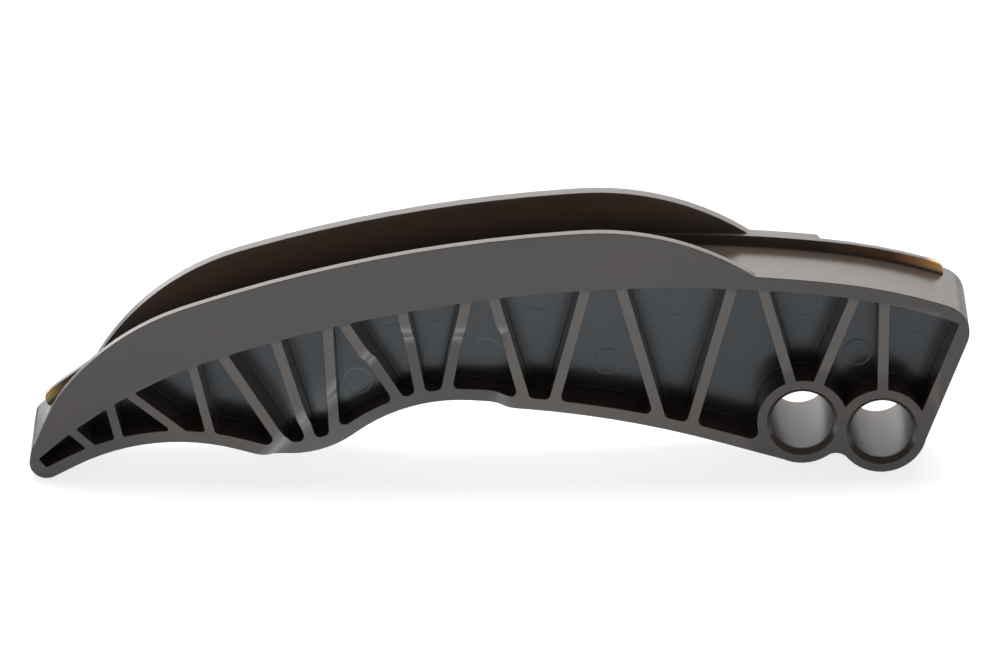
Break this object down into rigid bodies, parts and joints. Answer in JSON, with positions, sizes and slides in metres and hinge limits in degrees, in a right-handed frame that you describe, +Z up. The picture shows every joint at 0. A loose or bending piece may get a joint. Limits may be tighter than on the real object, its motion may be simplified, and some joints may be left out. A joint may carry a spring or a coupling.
{
  "type": "timing chain guide",
  "caption": "Curved one-piece nylon timing chain guide with a cheeked sliding channel, ribbed truss sides and a bolted end with twin bosses.",
  "frame": {"origin": "on the axis of the first bolt bore, in the middle of the rail's width", "axes": "+X along the rail from the toe to the bolted end, +Y across the rail from the relieved front face to the back face with the proud boss ends, +Z up towards the sliding face"},
  "size_m": [0.15, 0.0193, 0.0433],
  "materials": {
    "nylon": "satin, dark brown heat-stabilised nylon"
  },
  "bodies": {
    "root": {"guide_rail": "nylon"}
  },
  "joints": []
}
